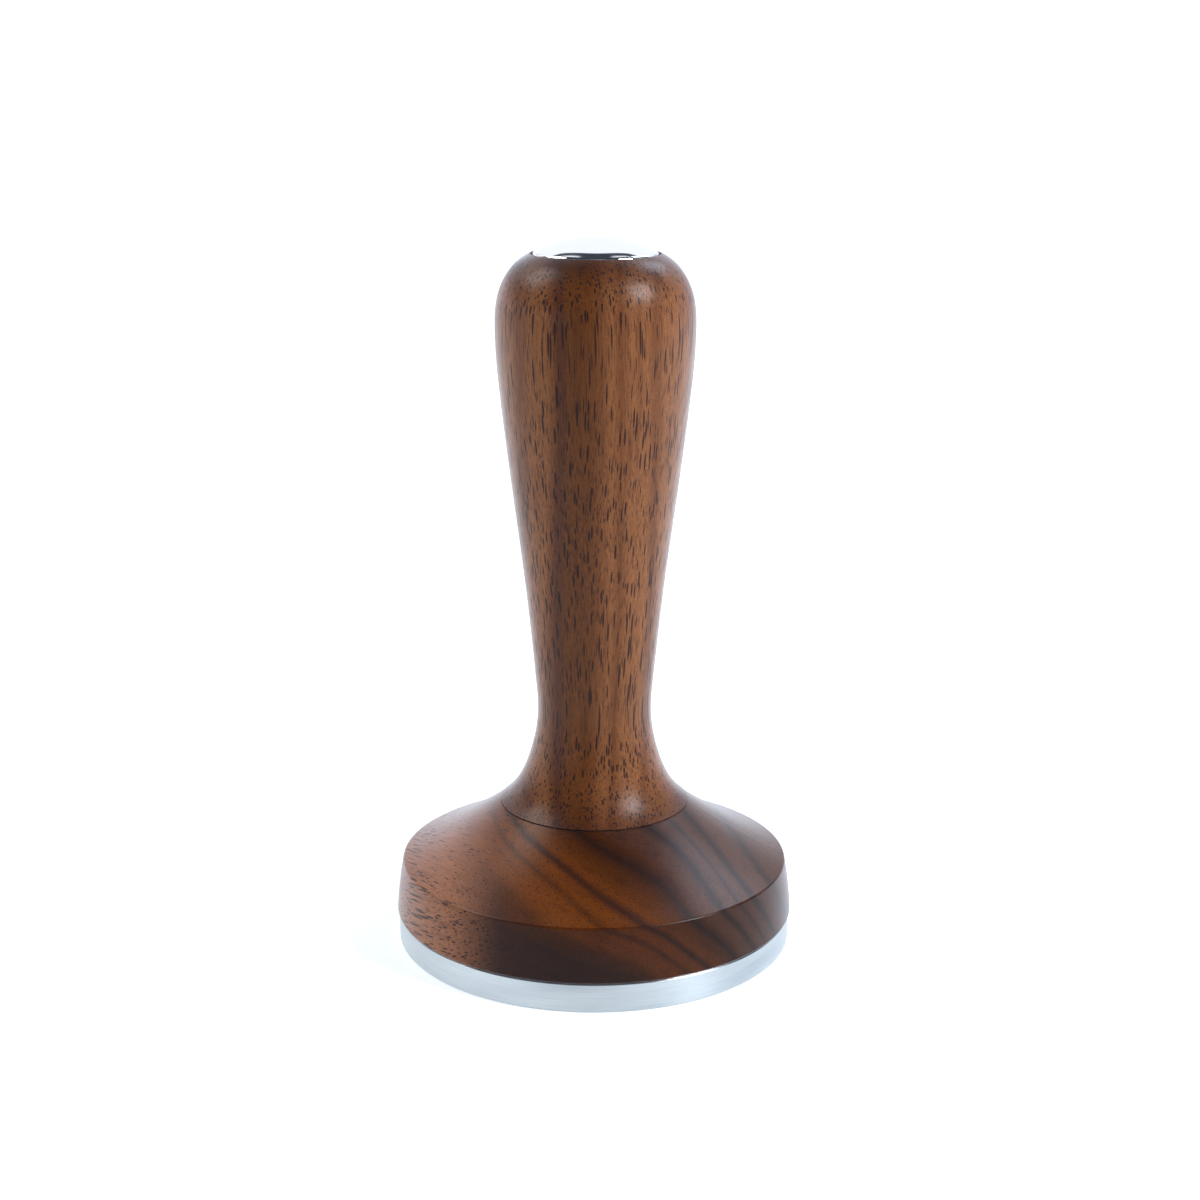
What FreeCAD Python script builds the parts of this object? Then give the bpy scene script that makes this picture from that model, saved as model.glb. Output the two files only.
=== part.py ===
"""Espresso tamper: a steel piston plate, a walnut disc, a screw-on walnut handle and a domed screw-in cap.

Millimetres, +Z up. The origin is the centre of the flat tamping face, so the tamper stands on Z = 0.
Each function below makes one separate piece, and the last lines write each piece to parts/NAME.step.
"""

import FreeCAD
import Part

import math
import os

from FreeCAD import Vector

# ---- driving dimensions -------------------------------------------------------------------------

# steel piston plate
PLATE_RADIUS = 29.0
PLATE_THICKNESS = 4.4
PLATE_CHAMFER = 0.3
BOSS_RADIUS = 8.0
BOSS_HEIGHT = 5.0
STUD_SOCKET_FLOOR = 1.9

# walnut disc
DISC_FOOT_RADIUS = 29.25
DISC_FOOT_CHAMFER = 0.2
DISC_WALL_BULGE = 0.12
CREASE_RADIUS = 28.3
CREASE_HEIGHT = 12.2
CREASE_ROUND = 0.35
SEAM_RADIUS = 13.8
SEAM_HEIGHT = 20.7
SEAM_SLOPE_DEG = 38.0
CREASE_SLOPE_DEG = 22.0
CLAMP_RECESS_RADIUS = 8.6
CLAMP_RECESS_FLOOR = 13.4
BOSS_CLEARANCE = 0.05
STUD_HOLE_RADIUS = 4.4

# pins that stop the disc turning on the plate
PIN_RADIUS = 1.5
PIN_LENGTH = 6.0
PIN_FLOOR = 2.0
PIN_CIRCLE_RADIUS = 19.0
PIN_COUNT = 3

# walnut handle: (height, radius) stations up the outside, from the foot to the rim of the head
SEAM_GAP = 0.2
FOOT_HEIGHT = SEAM_HEIGHT + SEAM_GAP
HANDLE_STATIONS = [
    (FOOT_HEIGHT, SEAM_RADIUS),
    (24.2, 11.0),
    (28.5, 9.28),
    (34.0, 8.3),
    (40.0, 8.62),
    (50.0, 9.62),
    (64.0, 11.37),
    (80.0, 13.35),
    (90.0, 14.1),
    (95.4, 13.55),
    (98.4, 12.05),
    (100.7, 9.3),
]
HEAD_RECESS_RADIUS = 9.1
HEAD_RECESS_FLOOR = 98.0

# the M8 thread that the stud, the nut, both inserts and the cap share
THREAD_PITCH = 1.25
THREAD_CREST_RADIUS = 3.97
THREAD_ROOT_RADIUS = 3.25
THREAD_CLEARANCE = 0.1
THREAD_LEAD_IN = 0.8
THREAD_NECK_RADIUS = 3.0
CREST_SHARE = 1 / 8
ROOT_SHARE = 1 / 4
BLANK_TURN_DEG = 97.0

# stud and what clamps the disc down on the plate
STUD_SHANK_RADIUS = 4.0
STUD_END_GAP = 0.3
STUD_THREAD_START = 14.0
STUD_TOP = 33.2
CLAMP_WASHER_OUTER = 8.2
CLAMP_WASHER_INNER = 4.2
CLAMP_WASHER_THICKNESS = 1.4
SPRING_WASHER_OUTER = 6.6
SPRING_WASHER_THICKNESS = 1.2
SPRING_WASHER_GAP = 1.0
NUT_ACROSS_FLATS = 13.0
NUT_HEIGHT = 4.0

# nylon washer in the handle's foot
FOOT_WASHER_INNER = 9.3
FOOT_WASHER_OUTER = 12.6
FOOT_WASHER_THICKNESS = 0.7
WASHER_SEAT_PLAY = 0.2
FOOT_HOLLOW_RADIUS = 9.0
FOOT_HOLLOW_TOP = 21.9

# brass inserts in the handle
INSERT_RADIUS = 5.75
INSERT_BARB_DEPTH = 0.35
INSERT_BARB_PITCH = 2.0
FOOT_INSERT_BOTTOM = 21.9
FOOT_INSERT_LENGTH = 12.0
HEAD_INSERT_LENGTH = 9.0
DRILL_TIP = 1.2

# domed cap and its seal
CAP_RADIUS = 8.8
CAP_DOME_HEIGHT = 2.2
CAP_RIM_HEIGHT = 1.2
CAP_EDGE_ROUND = 0.5
CAP_SHANK_LENGTH = 8.2
SEAL_INNER = 4.6
SEAL_OUTER = 8.3
SEAL_THICKNESS = 1.6
SEAL_ROUND = 0.3

EDGE_TOLERANCE = 1e-3


# ---- helpers ------------------------------------------------------------------------------------


def at(radius, height):
    """A point of an outline: radius out from the axis, height up it."""
    return Vector(radius, 0, height)


def turned(edges):
    """The solid that a closed outline sweeps in a full turn about Z."""
    face = Part.Face(Part.Wire(Part.sortEdges(edges)[0]))
    return Part.Solid(face.revolve(Vector(0, 0, 0), Vector(0, 0, 1), 360).Shells[0])


def lines(points):
    """Straight edges from each point to the next."""
    return [Part.makeLine(a, b) for a, b in zip(points, points[1:])]


def closed(points):
    return lines(points + points[:1])


def cylinder(radius, low, high):
    return Part.makeCylinder(radius, high - low, Vector(0, 0, low))


def ring(inner, outer, low, high):
    return cylinder(outer, low, high).cut(cylinder(inner, low, high))


def circles(shape, radius, height):
    """The circular edges of a shape with that radius at that height."""
    found = []
    for edge in shape.Edges:
        if not edge.Degenerated and isinstance(edge.Curve, Part.Circle):
            same_radius = abs(edge.Curve.Radius - radius) < EDGE_TOLERANCE
            if same_radius and abs(edge.Curve.Center.z - height) < EDGE_TOLERANCE:
                found.append(edge)
    return found


def slope(degrees):
    """A direction that runs inward and up at that angle above level."""
    angle = math.radians(degrees)
    return Vector(-math.cos(angle), 0, math.sin(angle))


def smooth(points, **tangents):
    """One smooth edge through the points."""
    curve = Part.BSplineCurve()
    curve.interpolate(Points=points, **tangents)
    return curve.toShape()


def around(shape, count):
    """The shape repeated evenly about Z."""
    copies = []
    for i in range(count):
        copy = shape.copy()
        copy.rotate(Vector(0, 0, 0), Vector(0, 0, 1), 360 * i / count)
        copies.append(copy)
    return Part.makeCompound(copies)


# ---- thread -------------------------------------------------------------------------------------


def spiral(start):
    """One turn of a right-hand spiral of the thread's pitch, starting from a point at angle 0."""
    helix = Part.makeHelix(THREAD_PITCH, THREAD_PITCH, start.x)
    helix.translate(Vector(0, 0, start.z))
    return helix.Edges[0]


def screw(low, high, extra=0.0):
    """A solid screw a little longer than asked. It starts on a whole number of pitches above Z = 0, so
    all the threads of the tamper mesh. Each turn has four bands: crest, flank, root and flank."""
    start = (math.floor(low / THREAD_PITCH) - 2) * THREAD_PITCH
    turns = math.ceil((high - start) / THREAD_PITCH) + 1
    half_crest = THREAD_PITCH * CREST_SHARE / 2
    half_foot = THREAD_PITCH * (1 - ROOT_SHARE) / 2
    crest = THREAD_CREST_RADIUS + extra
    root = THREAD_ROOT_RADIUS + extra
    profile = [
        at(crest, start - half_crest),
        at(crest, start + half_crest),
        at(root, start + half_foot),
        at(root, start + THREAD_PITCH - half_foot),
        at(crest, start + THREAD_PITCH - half_crest),
    ]
    faces = []
    for turn in range(turns):
        rise = Vector(0, 0, turn * THREAD_PITCH)
        rails = [spiral(point + rise) for point in profile]
        faces += [Part.makeRuledSurface(under, over) for under, over in zip(rails, rails[1:])]
    for turn in (0, turns):
        rise = Vector(0, 0, turn * THREAD_PITCH)
        foot = at(0, profile[0].z) + rise
        top = at(0, profile[-1].z) + rise
        step = Part.makePolygon([foot] + [point + rise for point in profile] + [top, foot])
        axis = Part.LineSegment(foot, top).toShape()
        faces += [Part.Face(step), Part.makeRuledSurface(axis, spiral(profile[0] + rise))]
    skin = Part.makeShell(faces)
    skin.sewShape()
    return Part.makeSolid(skin.Shells[0])


def threaded_end(low, high):
    """A threaded rod between two heights, coned at both ends where the thread starts."""
    full = THREAD_CREST_RADIUS + THREAD_CLEARANCE
    small = full - THREAD_LEAD_IN
    blank = turned(
        closed(
            [
                at(0, low),
                at(small, low),
                at(full, low + THREAD_LEAD_IN),
                at(full, high - THREAD_LEAD_IN),
                at(small, high),
                at(0, high),
            ]
        )
    )
    blank.rotate(Vector(), Vector(0, 0, 1), BLANK_TURN_DEG)
    return screw(low, high).common(blank)


def tapped(shape, low, high):
    """The shape with a threaded hole right through it, between the two heights of its faces."""
    return shape.cut(screw(low, high, THREAD_CLEARANCE))


# ---- pieces -------------------------------------------------------------------------------------


def base_plate():
    rim = PLATE_RADIUS - PLATE_CHAMFER
    boss_top = PLATE_THICKNESS + BOSS_HEIGHT
    outline = [
        at(0, 0),
        at(rim, 0),
        at(PLATE_RADIUS, PLATE_CHAMFER),
        at(PLATE_RADIUS, PLATE_THICKNESS - PLATE_CHAMFER),
        at(rim, PLATE_THICKNESS),
        at(BOSS_RADIUS, PLATE_THICKNESS),
        at(BOSS_RADIUS, boss_top - PLATE_CHAMFER),
        at(BOSS_RADIUS - PLATE_CHAMFER, boss_top),
        at(0, boss_top),
    ]
    plate = turned(closed(outline))
    hole = Part.makeCylinder(
        PIN_RADIUS, PLATE_THICKNESS - PIN_FLOOR, Vector(PIN_CIRCLE_RADIUS, 0, PIN_FLOOR)
    )
    plate = plate.cut(around(hole, PIN_COUNT))
    return plate.cut(cylinder(STUD_SHANK_RADIUS, STUD_SOCKET_FLOOR, boss_top))


def locating_pins():
    pin = Part.makeCylinder(PIN_RADIUS, PIN_LENGTH, Vector(PIN_CIRCLE_RADIUS, 0, PIN_FLOOR))
    return around(pin.makeChamfer(PIN_RADIUS / 5, pin.Edges[0:3:2]), PIN_COUNT)


def wood_disc():
    foot = PLATE_THICKNESS
    wall_foot = at(DISC_FOOT_RADIUS, foot + DISC_FOOT_CHAMFER)
    crease = at(CREASE_RADIUS, CREASE_HEIGHT)
    seam = at(SEAM_RADIUS, SEAM_HEIGHT)
    middle = (wall_foot + crease) / 2 + Vector(DISC_WALL_BULGE, 0, 0)
    shoulder = smooth(
        [crease, seam],
        InitialTangent=slope(CREASE_SLOPE_DEG),
        FinalTangent=slope(SEAM_SLOPE_DEG),
    )
    outline = [
        Part.Arc(wall_foot, middle, crease).toShape(),
        shoulder,
        *lines(
            [
                seam,
                at(0, SEAM_HEIGHT),
                at(0, foot),
                at(DISC_FOOT_RADIUS - DISC_FOOT_CHAMFER, foot),
                wall_foot,
            ]
        ),
    ]
    disc = turned(outline)
    disc = disc.makeFillet(CREASE_ROUND, circles(disc, CREASE_RADIUS, CREASE_HEIGHT))
    boss_top = foot + BOSS_HEIGHT + BOSS_CLEARANCE
    disc = disc.cut(cylinder(BOSS_RADIUS + BOSS_CLEARANCE, foot, boss_top))
    disc = disc.cut(cylinder(STUD_HOLE_RADIUS, foot, SEAM_HEIGHT))
    disc = disc.cut(cylinder(CLAMP_RECESS_RADIUS, CLAMP_RECESS_FLOOR, SEAM_HEIGHT))
    pin_top = PIN_FLOOR + PIN_LENGTH + BOSS_CLEARANCE
    hole = Part.makeCylinder(PIN_RADIUS, pin_top - foot, Vector(PIN_CIRCLE_RADIUS, 0, foot))
    return disc.cut(around(hole, PIN_COUNT))


def clamp_washer():
    low = CLAMP_RECESS_FLOOR
    high = low + CLAMP_WASHER_THICKNESS
    return ring(CLAMP_WASHER_INNER, CLAMP_WASHER_OUTER, low, high)


def spring_washer():
    low = CLAMP_RECESS_FLOOR + CLAMP_WASHER_THICKNESS
    high = low + SPRING_WASHER_THICKNESS
    washer = ring(CLAMP_WASHER_INNER, SPRING_WASHER_OUTER, low, high)
    split = Part.makeBox(
        SPRING_WASHER_OUTER,
        SPRING_WASHER_GAP,
        SPRING_WASHER_THICKNESS,
        Vector(0, -SPRING_WASHER_GAP / 2, low),
    )
    return washer.cut(split)


def clamp_nut():
    low = CLAMP_RECESS_FLOOR + CLAMP_WASHER_THICKNESS + SPRING_WASHER_THICKNESS
    high = low + NUT_HEIGHT
    corner = NUT_ACROSS_FLATS / 2 / math.cos(math.pi / 6)
    corners = [
        Vector(corner * math.cos(math.radians(a)), corner * math.sin(math.radians(a)), low)
        for a in range(0, 361, 60)
    ]
    prism = Part.Face(Part.makePolygon(corners)).extrude(Vector(0, 0, NUT_HEIGHT))
    flat = NUT_ACROSS_FLATS / 2
    drop = (corner - flat) * math.tan(math.radians(30))
    blank = turned(
        closed(
            [
                at(0, low),
                at(flat, low),
                at(corner, low + drop),
                at(corner, high - drop),
                at(flat, high),
                at(0, high),
            ]
        )
    )
    return tapped(prism.common(blank), low, high)


def centre_stud():
    low = STUD_SOCKET_FLOOR + STUD_END_GAP
    shank = turned(
        closed(
            [
                at(0, low),
                at(STUD_SHANK_RADIUS - STUD_END_GAP, low),
                at(STUD_SHANK_RADIUS, low + STUD_END_GAP),
                at(STUD_SHANK_RADIUS, STUD_THREAD_START - THREAD_LEAD_IN),
                at(THREAD_NECK_RADIUS, STUD_THREAD_START),
                at(THREAD_NECK_RADIUS, STUD_THREAD_START + THREAD_LEAD_IN),
                at(0, STUD_THREAD_START + THREAD_LEAD_IN),
            ]
        )
    )
    return shank.fuse(threaded_end(STUD_THREAD_START, STUD_TOP))


def foot_washer():
    low = SEAM_HEIGHT
    return ring(FOOT_WASHER_INNER, FOOT_WASHER_OUTER, low, low + FOOT_WASHER_THICKNESS)


def handle():
    profile = [at(radius, height) for height, radius in HANDLE_STATIONS]
    skin = smooth(profile)
    head_top = profile[-1].z
    washer_seat = SEAM_HEIGHT + FOOT_WASHER_THICKNESS
    foot_bore_top = FOOT_INSERT_BOTTOM + FOOT_INSERT_LENGTH
    head_bore_foot = HEAD_RECESS_FLOOR - HEAD_INSERT_LENGTH
    inside = [
        profile[-1],
        at(HEAD_RECESS_RADIUS, head_top),
        at(HEAD_RECESS_RADIUS, HEAD_RECESS_FLOOR),
        at(INSERT_RADIUS, HEAD_RECESS_FLOOR),
        at(INSERT_RADIUS, head_bore_foot),
        at(0, head_bore_foot - DRILL_TIP),
        at(0, foot_bore_top + DRILL_TIP),
        at(INSERT_RADIUS, foot_bore_top),
        at(INSERT_RADIUS, FOOT_HOLLOW_TOP),
        at(FOOT_HOLLOW_RADIUS, FOOT_HOLLOW_TOP),
        at(FOOT_HOLLOW_RADIUS, washer_seat),
        at(FOOT_WASHER_OUTER + WASHER_SEAT_PLAY, washer_seat),
        at(FOOT_WASHER_OUTER + WASHER_SEAT_PLAY, FOOT_HEIGHT),
        profile[0],
    ]
    return turned([skin, *lines(inside)])


def barbed_insert(low, length):
    """A brass bush with ring barbs outside and the thread inside."""
    high = low + length
    groove = INSERT_RADIUS - INSERT_BARB_DEPTH
    outline = [at(0, low), at(groove, low)]
    barbs = int(length / INSERT_BARB_PITCH)
    step = length / barbs
    for i in range(barbs):
        outline += [
            at(INSERT_RADIUS, low + step * (i + 0.5)),
            at(INSERT_RADIUS, low + step * (i + 0.8)),
            at(groove, low + step * (i + 1)),
        ]
    outline.append(at(0, high))
    return tapped(turned(closed(outline)), low, high)


def foot_insert():
    return barbed_insert(FOOT_INSERT_BOTTOM, FOOT_INSERT_LENGTH)


def head_insert():
    return barbed_insert(HEAD_RECESS_FLOOR - HEAD_INSERT_LENGTH, HEAD_INSERT_LENGTH)


def cap_seal():
    low = HEAD_RECESS_FLOOR
    seal = ring(SEAL_INNER, SEAL_OUTER, low, low + SEAL_THICKNESS)
    outer = circles(seal, SEAL_OUTER, low) + circles(seal, SEAL_OUTER, low + SEAL_THICKNESS)
    return seal.makeFillet(SEAL_ROUND, outer)


def top_cap():
    underside = HEAD_RECESS_FLOOR + SEAL_THICKNESS
    rim_top = underside + CAP_RIM_HEIGHT
    apex = rim_top + CAP_DOME_HEIGHT
    ball = (CAP_RADIUS**2 + CAP_DOME_HEIGHT**2) / (2 * CAP_DOME_HEIGHT)
    half_way = math.asin(CAP_RADIUS / ball) / 2
    on_dome = at(ball * math.sin(half_way), apex - ball + ball * math.cos(half_way))
    thread_top = underside - THREAD_LEAD_IN
    neck_bottom = thread_top - THREAD_LEAD_IN
    below_dome = [
        at(0, apex),
        at(0, neck_bottom),
        at(THREAD_NECK_RADIUS, neck_bottom),
        at(THREAD_NECK_RADIUS, underside),
        at(CAP_RADIUS, underside),
        at(CAP_RADIUS, rim_top),
    ]
    dome = Part.Arc(at(CAP_RADIUS, rim_top), on_dome, at(0, apex)).toShape()
    head = turned([dome, *lines(below_dome)])
    head = head.makeFillet(CAP_EDGE_ROUND, circles(head, CAP_RADIUS, rim_top))
    return head.fuse(threaded_end(underside - CAP_SHANK_LENGTH, thread_top))


PIECES = [
    base_plate,
    locating_pins,
    wood_disc,
    clamp_washer,
    spring_washer,
    clamp_nut,
    centre_stud,
    foot_washer,
    handle,
    foot_insert,
    head_insert,
    cap_seal,
    top_cap,
]

os.makedirs("parts", exist_ok=True)
for piece in PIECES:
    shape = piece()
    shape.exportStep(f"parts/{piece.__name__}.step")
    solids = len(shape.Solids)
    print(f"{piece.__name__:16} {solids} solid(s) {shape.Volume:10.1f} mm3 valid {shape.isValid()}")
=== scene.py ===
"""Looks for the espresso tamper: solid walnut, brushed and polished steel, and a pale studio.

Lengths are in metres except inside the materials, which work in millimetres of the row frame.
"""

import math

import bpy
from mathutils import Euler, Matrix, Vector

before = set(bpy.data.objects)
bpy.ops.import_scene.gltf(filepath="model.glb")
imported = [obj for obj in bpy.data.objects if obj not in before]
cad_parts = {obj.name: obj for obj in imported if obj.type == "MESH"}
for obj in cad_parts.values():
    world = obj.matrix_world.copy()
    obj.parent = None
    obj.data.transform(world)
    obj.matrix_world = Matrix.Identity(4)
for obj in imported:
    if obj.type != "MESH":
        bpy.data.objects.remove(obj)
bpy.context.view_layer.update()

MM_PER_M = 1000.0


# ---- node helpers -------------------------------------------------------------------------------


class Nodes:
    """A node tree. An input is a number, a tuple, or another node's output."""

    def __init__(self, tree):
        self.tree = tree

    def put(self, socket, value):
        if isinstance(value, bpy.types.NodeSocket):
            self.tree.links.new(value, socket)
        else:
            socket.default_value = value

    def node(self, kind, inputs, output=0, **settings):
        node = self.tree.nodes.new("ShaderNode" + kind)
        for key, value in settings.items():
            setattr(node, key, value)
        for key, value in inputs.items():
            self.put(node.inputs[key], value)
        return node.outputs[output]

    def math(self, operation, a, b=0.0):
        return self.node("Math", {0: a, 1: b}, operation=operation)

    def smooth(self, value, low, high, to_low=0.0, to_high=1.0):
        """value eased from low..high to to_low..to_high."""
        ends = {"Value": value, "From Min": low, "From Max": high, "To Min": to_low, "To Max": to_high}
        return self.node("MapRange", ends, interpolation_type="SMOOTHSTEP")

    def stretch(self, vector, scale, offset=(0, 0, 0)):
        return self.node("Mapping", {"Vector": vector, "Scale": scale, "Location": offset})

    def noise(self, vector, detail=2.0, roughness=0.5, output="Factor"):
        settings = {"Vector": vector, "Scale": 1.0, "Detail": detail, "Roughness": roughness}
        outputs = {"Factor": 0, "Color": 1}
        return self.node("TexNoise", settings, outputs[output])

    def mix(self, factor, a, b, blend="MIX"):
        node = self.tree.nodes.new("ShaderNodeMix")
        node.data_type = "RGBA"
        node.blend_type = blend
        for socket, value in ((0, factor), (6, a), (7, b)):
            self.put(node.inputs[socket], value)
        return node.outputs[2]

    def ramp(self, factor, stops):
        node = self.tree.nodes.new("ShaderNodeValToRGB")
        elements = node.color_ramp.elements
        while len(elements) < len(stops):
            elements.new(0.5)
        for element, (position, colour) in zip(elements, stops):
            element.position = position
            element.color = (*colour, 1)
        self.put(node.inputs[0], factor)
        return node.outputs[0]

    def parts(self, vector):
        node = self.tree.nodes.new("ShaderNodeSeparateXYZ")
        self.put(node.inputs[0], vector)
        return node.outputs


class Surface(Nodes):
    """A material with a Principled shader."""

    def __init__(self, name):
        self.material = bpy.data.materials.new(name)
        self.material.use_nodes = True
        super().__init__(self.material.node_tree)
        self.shader = self.tree.nodes["Principled BSDF"]

    def set(self, **inputs):
        """Sets the shader's sockets: base_color is Base Color."""
        for key, value in inputs.items():
            self.put(self.shader.inputs[key.replace("_", " ").title().replace("Ior", "IOR")], value)

    def bump(self, height, distance_mm, strength=1.0, normal=None):
        inputs = {"Height": height, "Distance": distance_mm / MM_PER_M, "Strength": strength}
        if normal is not None:
            inputs["Normal"] = normal
        return self.node("Bump", inputs)

    def position(self):
        """The point on the object, in millimetres of the row frame."""
        point = self.node("TexCoord", {}, "Object")
        return self.stretch(point, (MM_PER_M,) * 3)


def dress(material, *nodes):
    """Gives CAD nodes a material."""
    for name in nodes:
        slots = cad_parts[name].material_slots
        if not slots:
            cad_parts[name].data.materials.append(material)
        for slot in slots:
            slot.material = material


# ---- walnut -------------------------------------------------------------------------------------


SWAY_MM = 4.0
SAPWOOD_SHARE = 0.85

# each pore has a room of (width, length) millimetres, and its radius lies between two shares of that room
LARGE_PORE = (0.4, 8.0)
SMALL_PORE = (0.22, 4.5)
LARGE_PORE_RADII = (0.13, 0.42)
SMALL_PORE_RADII = (0.1, 0.36)
SMALL_PORE_DEPTH = 0.7
PORE_SHADE = 0.85
PORE_COLOUR = (0.014, 0.005, 0.007, 1)

# these multiply the colour under them
DARK_STREAK = (0.45, 0.36, 0.34, 1)
LIGHT_STREAK = (1.35, 1.3, 1.15, 1)
FIBRE_SHADE = (0.62, 0.55, 0.52, 1)
FLECK = (1.45, 1.35, 1.2, 1)
GRIT = (0.55, 0.5, 0.52, 1)
# this darkens end grain, partly for the oil it drinks and partly as painted shade on the disc's wall
END_GRAIN_AND_PAINTED_SHADE = (0.3, 0.24, 0.26, 1)


def lie_of_grain(wood, fibre, ring):
    """Places in the wood with Z along the fibre and X across it toward the ring direction, and their sway.
    The trunk was never quite straight, so the grain wanders slowly."""
    side = fibre.cross(ring).normalized()
    to_grain = Matrix((side.cross(fibre), side, fibre)).to_euler()
    grain = wood.node("Mapping", {"Vector": wood.position(), "Rotation": to_grain})
    sway = wood.noise(wood.stretch(grain, (0.05, 0.05, 0.016)), 1.0, 0.4, "Color")
    sway = wood.node("VectorMath", {0: sway, 1: (0.5, 0.5, 0.5)}, operation="SUBTRACT")
    sway = wood.node("VectorMath", {0: sway, 1: (SWAY_MM, SWAY_MM, 0.0)}, operation="MULTIPLY")
    return wood.node("VectorMath", {0: grain, 1: sway}, operation="ADD"), sway


def ring_depth(wood, ring, grain, sway, ring_bend):
    """How far across the growth rings a place is, in millimetres."""
    straight_at, curve = ring_bend
    depth = wood.node("VectorMath", {0: wood.position(), 1: ring}, "Value", operation="DOT_PRODUCT")
    depth = wood.math("ADD", depth, wood.parts(sway)[0])
    aside = wood.math("SUBTRACT", wood.parts(grain)[1], straight_at)
    return wood.math("ADD", depth, wood.math("MULTIPLY", wood.math("MULTIPLY", aside, aside), curve))


def ring_colour(wood, depth, rings, pale):
    """The colour of each growth ring, and the sapwood toward -X."""
    low, high = rings[0][0], rings[-1][0]
    share = wood.node("MapRange", {"Value": depth, "From Min": low, "From Max": high})
    colour = wood.ramp(share, [((place - low) / (high - low), c) for place, c in rings])
    leftward = wood.math("MULTIPLY", wood.parts(wood.position())[0], -1.0)
    return wood.mix(wood.smooth(leftward, *pale, 0.0, SAPWOOD_SHARE), colour, (*SAPWOOD, 1))


def figure(wood, grain, fibres, colour):
    """Dark and light streaks inside the rings, then fine fibres, flecks and grit."""
    streaks = wood.noise(wood.stretch(grain, (0.75, 0.45, 0.012)), 3.0, 0.6)
    colour = wood.mix(wood.smooth(streaks, 0.52, 0.78, 0.0, 0.6), colour, DARK_STREAK, "MULTIPLY")
    colour = wood.mix(wood.smooth(streaks, 0.46, 0.25, 0.0, 0.5), colour, LIGHT_STREAK, "MULTIPLY")
    colour = wood.mix(wood.smooth(fibres, 0.35, 0.7, 0.0, 0.7), colour, FIBRE_SHADE, "MULTIPLY")
    flecks = wood.noise(wood.stretch(grain, (3.2, 4.8, 1.2)), 4.0, 0.75)
    colour = wood.mix(wood.smooth(flecks, 0.4, 0.7, 0.0, 0.45), colour, FLECK, "MULTIPLY")
    grit = wood.noise(wood.stretch(grain, (7.0, 7.0, 4.0)), 2.0, 0.6)
    return wood.mix(wood.smooth(grit, 0.4, 0.65, 0.0, 0.45), colour, GRIT, "MULTIPLY")


def darker_end_grain_and_painted_shade(wood, fibre, colour):
    """End grain drinks more oil and goes darker, and here the darkening is deepened further to paint the
    shade on the front of the disc's wall.
    """
    outward = wood.node("TexCoord", {}, "Normal")
    facing = wood.node("VectorMath", {0: outward, 1: fibre}, "Value", operation="DOT_PRODUCT")
    end_grain_and_shade = wood.smooth(wood.math("ABSOLUTE", facing), 0.3, 0.9, 0.0, 0.78)
    return wood.mix(end_grain_and_shade, colour, END_GRAIN_AND_PAINTED_SHADE, "MULTIPLY")


def pores(wood, grain, size, radii, swell):
    """Long thin tubes that show as dashes along the grain and as dots across it. size is the width and length
    of the room that each has, in millimetres, and radii are the smallest and largest shares of that room."""
    width, length = size
    cell = wood.tree.nodes.new("ShaderNodeTexVoronoi")
    wood.put(cell.inputs["Vector"], wood.stretch(grain, (1 / width, 1 / width, 1 / length)))
    cell.inputs["Scale"].default_value = 1.0
    pick = wood.parts(cell.outputs["Color"])[0]
    radius = wood.math("MULTIPLY", wood.smooth(pick, 0.0, 1.0, *radii), swell)
    return wood.smooth(wood.math("SUBTRACT", radius, cell.outputs["Distance"]), -0.05, 0.05)


def walnut(name, along, across, rings, ring_bend, pore_size, coarse, pale):
    """Solid oiled black walnut. along is the fibre direction, and across runs through the growth rings.

    rings are (place across the rings in mm, colour) pairs, from one side of the piece to the other. The
    rings curve away from the first number of ring_bend, by its second number times the distance squared.
    The pores swell between the two places in coarse. The wood turns to pale sapwood toward -X, between
    the two distances from the middle in pale.
    """
    wood = Surface(name)
    fibre = Vector(along).normalized()
    ring = Vector(across).normalized()
    grain, sway = lie_of_grain(wood, fibre, ring)
    depth = ring_depth(wood, ring, grain, sway, ring_bend)
    fibres = wood.noise(wood.stretch(grain, (5.0, 5.0, 0.16)), 3.0, 0.65)
    colour = ring_colour(wood, depth, rings, pale)
    colour = figure(wood, grain, fibres, colour)
    # end grain is darkened partly for its oil and partly as painted shade
    colour = darker_end_grain_and_painted_shade(wood, fibre, colour)

    swell = wood.smooth(depth, *coarse, 0.62, 1.0)
    large = pores(wood, grain, [pore_size * part for part in LARGE_PORE], LARGE_PORE_RADII, swell)
    small = pores(wood, grain, [pore_size * part for part in SMALL_PORE], SMALL_PORE_RADII, swell)
    pore = wood.math("MAXIMUM", large, wood.math("MULTIPLY", small, SMALL_PORE_DEPTH))
    colour = wood.mix(wood.math("MULTIPLY", pore, PORE_SHADE), colour, PORE_COLOUR)

    worn = wood.smooth(fibres, 0.2, 0.8, 0.3, 0.46)
    skin = wood.bump(fibres, 0.012)
    wood.set(
        base_color=colour,
        roughness=wood.math("ADD", worn, wood.math("MULTIPLY", pore, 0.25)),
        specular_ior_level=0.06,
        coat_weight=1.0,
        coat_ior=1.2,
        coat_roughness=0.3,
        sheen_weight=0.45,
        sheen_roughness=0.3,
        sheen_tint=(0.78, 0.84, 1.0, 1),
        normal=wood.bump(wood.math("SUBTRACT", 1.0, pore), 0.05, 0.8, skin),
    )
    return wood.material


SAPWOOD = (0.36, 0.145, 0.066)
LIGHT = (0.245, 0.096, 0.034)
MID = (0.165, 0.058, 0.019)
AMBER = (0.135, 0.045, 0.011)
DARK = (0.105, 0.035, 0.015)

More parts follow.
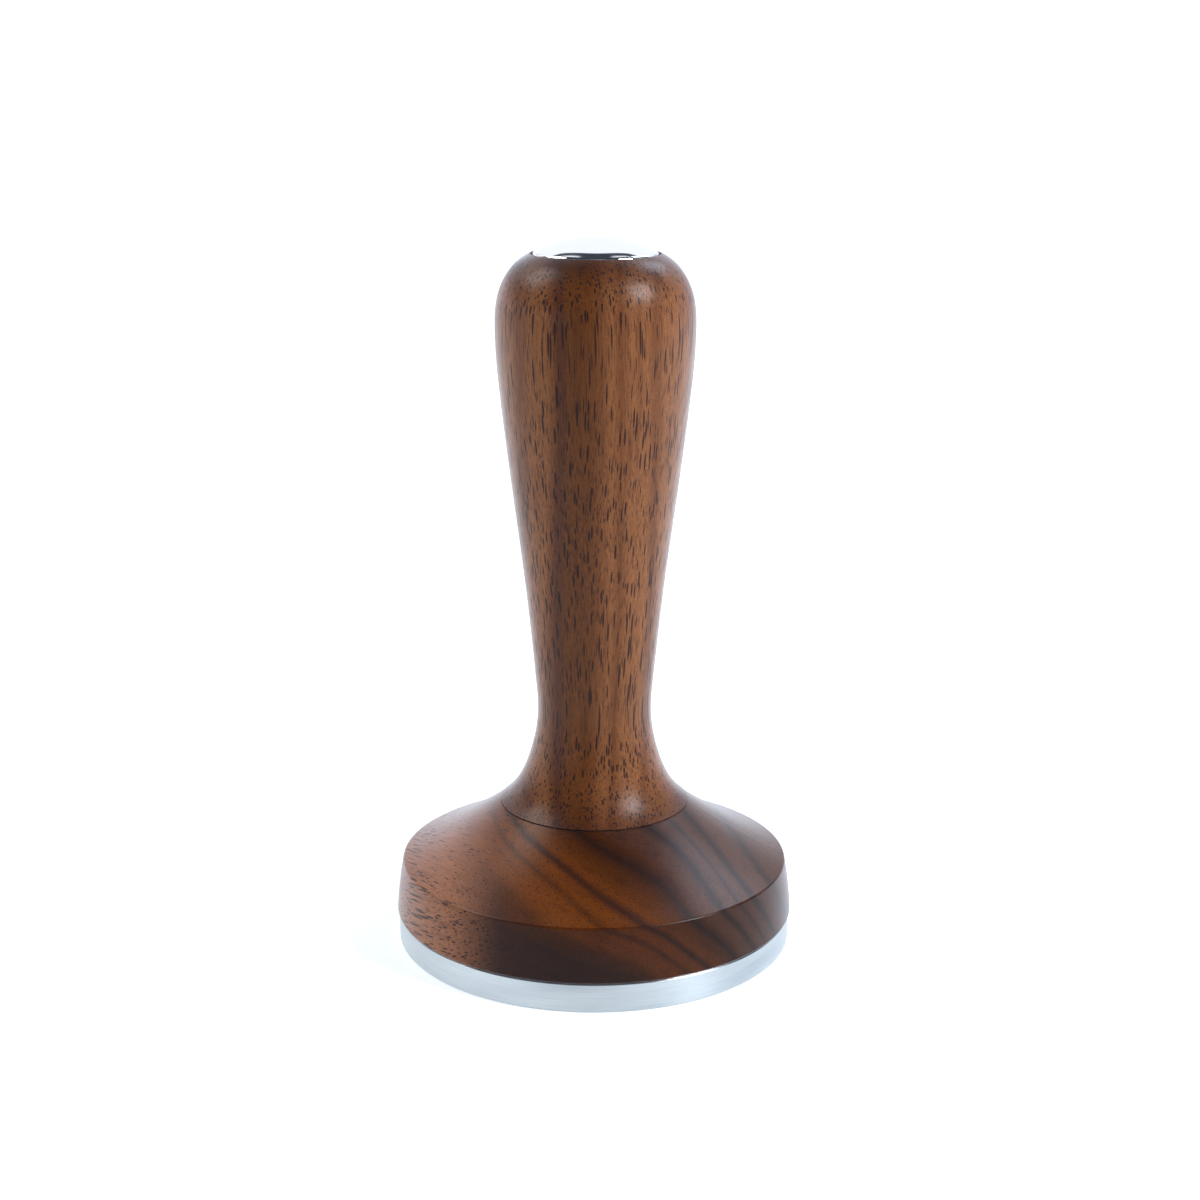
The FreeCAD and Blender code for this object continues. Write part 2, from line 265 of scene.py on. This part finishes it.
handle_walnut = walnut(
    "handle_walnut",
    along=(0, 0, 1),
    across=(1, 0.25, 0),
    rings=[
        (-15.0, LIGHT), (-12.4, LIGHT), (-11.4, MID), (-10.0, LIGHT), (-8.4, LIGHT), (-7.6, MID),
        (-7.0, DARK), (-6.3, DARK), (-5.8, AMBER), (-2.6, AMBER), (-1.4, MID), (0.4, LIGHT), (1.6, MID),
        (3.0, LIGHT), (5.6, LIGHT), (6.6, MID), (8.0, LIGHT), (11.0, LIGHT), (15.0, MID),
    ],
    ring_bend=(0.0, 0.012),
    pore_size=1.0,
    coarse=(20.0, 18.0),
    pale=(20.0, 40.0),
)

GOLD = (0.16, 0.042, 0.002)
HONEY = (0.085, 0.023, 0.002)
CHESTNUT = (0.11, 0.042, 0.019)
BROWN = (0.042, 0.013, 0.006)
UMBER = (0.03, 0.01, 0.005)

disc_walnut = walnut(
    "disc_walnut",
    along=(1, -1.74, 0.44),
    across=(0.59, 0.035, 1),
    rings=[
        (-18.0, HONEY), (-5.0, HONEY), (-2.0, BROWN), (5.0, BROWN), (7.6, HONEY), (8.8, GOLD),
        (10.6, GOLD), (11.2, HONEY), (11.8, GOLD), (12.7, GOLD), (13.4, BROWN), (14.2, GOLD),
        (16.3, HONEY), (17.2, UMBER), (18.1, HONEY), (18.9, CHESTNUT), (20.1, CHESTNUT),
        (21.0, UMBER), (21.9, CHESTNUT), (23.0, CHESTNUT), (23.4, BROWN), (23.9, CHESTNUT),
        (24.8, CHESTNUT), (25.6, UMBER), (26.5, CHESTNUT), (28.5, CHESTNUT), (29.3, UMBER),
        (30.2, HONEY), (36.0, HONEY),
    ],
    ring_bend=(11.0, 0.012),
    pore_size=0.9,
    coarse=(6.0, 2.0),
    pale=(12.0, 22.0),
)


# ---- metals, washer and seal --------------------------------------------------------------------


def brushed_steel():
    """Stainless steel, turned and brushed, so the fine lines run round the rim."""
    steel = Surface("brushed_steel")
    x, y, z = steel.parts(steel.position())
    squares = steel.math("ADD", steel.math("MULTIPLY", x, x), steel.math("MULTIPLY", y, y))
    radius = steel.math("SQRT", squares)
    turn = steel.math("ARCTAN2", y, x)
    unrolled = steel.node("CombineXYZ", {0: steel.math("MULTIPLY", turn, 1.2), 1: radius, 2: z})
    lines = steel.noise(steel.stretch(unrolled, (3.0, 11.0, 11.0)), 4.0, 0.7)
    cloud = steel.noise(steel.stretch(unrolled, (1.5, 0.3, 0.8)), 2.0, 0.5)
    shade = steel.mix(steel.smooth(lines, 0.3, 0.7), (0.5, 0.555, 0.585, 1), (0.62, 0.67, 0.7, 1))
    smudge = steel.smooth(cloud, 0.35, 0.7, 0.0, 0.35)
    steel.set(
        base_color=steel.mix(smudge, shade, (0.86, 0.89, 0.93, 1), "MULTIPLY"),
        metallic=1.0,
        roughness=steel.smooth(steel.math("ADD", lines, cloud), 0.7, 1.3, 0.3, 0.42),
        anisotropic=0.85,
        anisotropic_rotation=0.25,
        tangent=steel.node("Tangent", {}, direction_type="RADIAL", axis="Z"),
        normal=steel.bump(lines, 0.006),
    )
    return steel.material


def polished_steel():
    """Mirror-polished stainless steel with the faintest polishing haze."""
    steel = Surface("polished_steel")
    point = steel.position()
    haze = steel.noise(steel.stretch(point, (0.5, 0.5, 0.5)), 4.0, 0.6)
    hairlines = steel.noise(steel.stretch(point, (14.0, 1.1, 1.1), (3.0, 0.0, 0.0)), 3.0, 0.6)
    steel.set(
        base_color=steel.mix(haze, (0.86, 0.88, 0.9, 1), (0.93, 0.94, 0.95, 1)),
        metallic=1.0,
        roughness=steel.smooth(haze, 0.3, 0.7, 0.035, 0.075),
        normal=steel.bump(hairlines, 0.0006),
    )
    return steel.material


def machined(name, dull, bright, rough):
    """Small turned hardware: cut lines round the axis, and a mottled surface film."""
    metal = Surface(name)
    point = metal.position()
    cuts = metal.noise(metal.stretch(point, (0.6, 0.6, 9.0)), 3.0, 0.6)
    film = metal.noise(metal.stretch(point, (0.9, 0.9, 0.9)), 4.0, 0.65)
    metal.set(
        base_color=metal.mix(metal.smooth(film, 0.3, 0.7), dull, bright),
        metallic=1.0,
        roughness=metal.smooth(film, 0.3, 0.75, rough, rough + 0.16),
        normal=metal.bump(cuts, 0.008),
    )
    return metal.material


def moulded(name, dark, light, rough, grain_mm):
    """A moulded or stamped plastic or rubber ring with a fine matt texture."""
    plastic = Surface(name)
    point = plastic.position()
    grit = plastic.noise(plastic.stretch(point, (1 / grain_mm,) * 3), 3.0, 0.6)
    scuffs = plastic.noise(plastic.stretch(point, (0.35, 0.35, 0.35)), 5.0, 0.7)
    plastic.set(
        base_color=plastic.mix(plastic.smooth(scuffs, 0.35, 0.7), dark, light),
        roughness=plastic.smooth(scuffs, 0.3, 0.7, rough, rough + 0.2),
        normal=plastic.bump(grit, 0.01),
    )
    return plastic.material


dress(handle_walnut, "handle")
dress(disc_walnut, "wood_disc")
dress(brushed_steel(), "base_plate")
dress(polished_steel(), "top_cap")
dress(
    machined("plated_steel", (0.5, 0.52, 0.54, 1), (0.7, 0.71, 0.72, 1), 0.26),
    "centre_stud", "clamp_nut", "clamp_washer", "spring_washer", "locating_pins",
)
dress(machined("brass", (0.5, 0.32, 0.12, 1), (0.78, 0.56, 0.26, 1), 0.22), "foot_insert", "head_insert")
dress(moulded("nylon", (0.56, 0.53, 0.46, 1), (0.74, 0.72, 0.66, 1), 0.4, 0.12), "foot_washer")
dress(moulded("rubber", (0.012, 0.012, 0.013, 1), (0.03, 0.03, 0.032, 1), 0.6, 0.1), "cap_seal")


# ---- studio -------------------------------------------------------------------------------------


FLOOR_SIZE = 12.0

# the floor's glow goes from the given share to full between two distances from the middle, or two places in
# Y; the dimmer glow is a painted shadow round the tamper and a painted shade on the camera's side
SHADOW_MM = (55.0, 150.0)
SHADOW_GLOW = 0.72
NEAR_CAMERA_SHADE_MM = (-220.0, -85.0)
NEAR_CAMERA_SHADE_GLOW = 0.15

WHITE = (1.02, 1.06, 1.14, 1)
SOFTBOX_DISTANCE = 0.9
SOFTBOX_AIM = (0, 0, 0.06)
CAMERA_PLACE = (0.0005, -0.2945, 0.1293)
CAMERA_PITCH_DEG = 75.12
CAMERA_ROLL_DEG = -0.19


def floor():
    """A pale sheet of paper that glows from below. Its glow is turned down under and round the tamper as a
    painted shadow, and near the camera as a painted shade. It runs far enough back to meet the white
    surround."""
    half = FLOOR_SIZE / 2
    mesh = bpy.data.meshes.new("floor")
    corners = [(-half, -half, 0), (half, -half, 0), (half, half, 0), (-half, half, 0)]
    mesh.from_pydata(corners, [], [(0, 1, 2, 3)])
    paper = Surface("pale_paper_painted_shadow")
    point = paper.position()
    tooth = paper.noise(paper.stretch(point, (0.6, 0.6, 0.6)), 4.0, 0.6)
    distance = paper.node("VectorMath", {0: point}, "Value", operation="LENGTH")
    # painted shadow: the glow is dimmed round the tamper
    painted_shadow_round_tamper = paper.smooth(distance, *SHADOW_MM, SHADOW_GLOW, 1.0)
    # painted shade: the glow is dimmed near the camera
    painted_shade_near_camera = paper.smooth(paper.parts(point)[1], *NEAR_CAMERA_SHADE_MM, NEAR_CAMERA_SHADE_GLOW, 1.0)
    paper.set(
        base_color=paper.mix(tooth, (0.5, 0.5, 0.5, 1), (0.56, 0.56, 0.56, 1)),
        roughness=0.9,
        normal=paper.bump(tooth, 0.02, 0.3),
        emission_color=(0.85, 0.92, 0.97, 1),
        emission_strength=paper.math("MULTIPLY", painted_shadow_round_tamper, painted_shade_near_camera),
    )
    mesh.materials.append(paper.material)
    sheet = bpy.data.objects.new("floor", mesh)
    bpy.context.scene.collection.objects.link(sheet)


def surround():
    """White behind and to both sides of the tamper up to an arch, with two white panels above the arch. It
    is dark overhead and on the camera's side."""
    world = bpy.data.worlds.new("surround")
    bpy.context.scene.world = world
    world.use_nodes = True
    sky = Nodes(world.node_tree)
    x, y, z = sky.parts(sky.node("TexCoord", {}, "Generated"))
    sideways = sky.math("ABSOLUTE", x)
    near = sky.mix(sky.smooth(x, -0.3, 0.7), (0.07, 0.075, 0.09, 1), (0.55, 0.56, 0.62, 1))
    wall = sky.mix(sky.smooth(y, -0.5, 0.15), near, WHITE)
    wall = sky.mix(sky.smooth(x, 0.3, 0.6), wall, (0.5, 0.6, 0.9, 1))
    wall = sky.mix(sky.smooth(x, -0.3, -0.6), wall, (1.35, 1.4, 1.6, 1))
    arch = sky.math("SUBTRACT", 0.8, sky.math("MULTIPLY", sky.math("MULTIPLY", x, x), 2.6))
    arch = sky.math("MAXIMUM", arch, 0.2)
    above = sky.math("SUBTRACT", z, arch)
    panels = sky.math("MULTIPLY", sky.smooth(sideways, 0.1, 0.14), sky.smooth(y, 0.4, 0.5))
    panels = sky.math("MULTIPLY", panels, sky.smooth(above, 0.04, 0.055))
    overhead = sky.mix(panels, (0.05, 0.055, 0.07, 1), WHITE)
    colour = sky.mix(sky.smooth(above, -0.008, 0.008), wall, overhead)
    background = world.node_tree.nodes["Background"]
    sky.put(background.inputs["Color"], colour)
    background.inputs["Strength"].default_value = 1.0


def softbox(name, direction, size, power, colour):
    """A square light that faces the tamper from that direction."""
    lamp = bpy.data.lights.new(name, "AREA")
    lamp.shape = "RECTANGLE"
    lamp.size = size
    lamp.size_y = size
    lamp.energy = power
    lamp.color = colour
    way = Vector(direction).normalized()
    box = bpy.data.objects.new(name, lamp)
    box.location = Vector(SOFTBOX_AIM) + way * SOFTBOX_DISTANCE
    box.rotation_euler = way.to_track_quat("Z", "Y").to_euler()
    bpy.context.scene.collection.objects.link(box)


def camera():
    lens = bpy.data.cameras.new("camera")
    lens.lens = 63.3
    lens.sensor_width = 36.0
    lens.clip_start = 0.01
    eye = bpy.data.objects.new("camera", lens)
    eye.location = CAMERA_PLACE
    eye.rotation_euler = Euler((math.radians(CAMERA_PITCH_DEG), math.radians(CAMERA_ROLL_DEG), 0))
    bpy.context.scene.collection.objects.link(eye)
    bpy.context.scene.camera = eye


floor()
surround()
softbox("right_softbox", (0.72, -0.35, 0.6), 0.3, 8.5, (0.93, 0.95, 1.0))
softbox("left_softbox", (-0.7, 0.15, 0.75), 0.4, 4.0, (1.0, 0.97, 0.95))
softbox("back_softbox", (0.5, 0.5, 0.7), 0.3, 2.2, (0.7, 0.82, 1.0))
camera()

view = bpy.context.scene.view_settings
view.view_transform = "Standard"
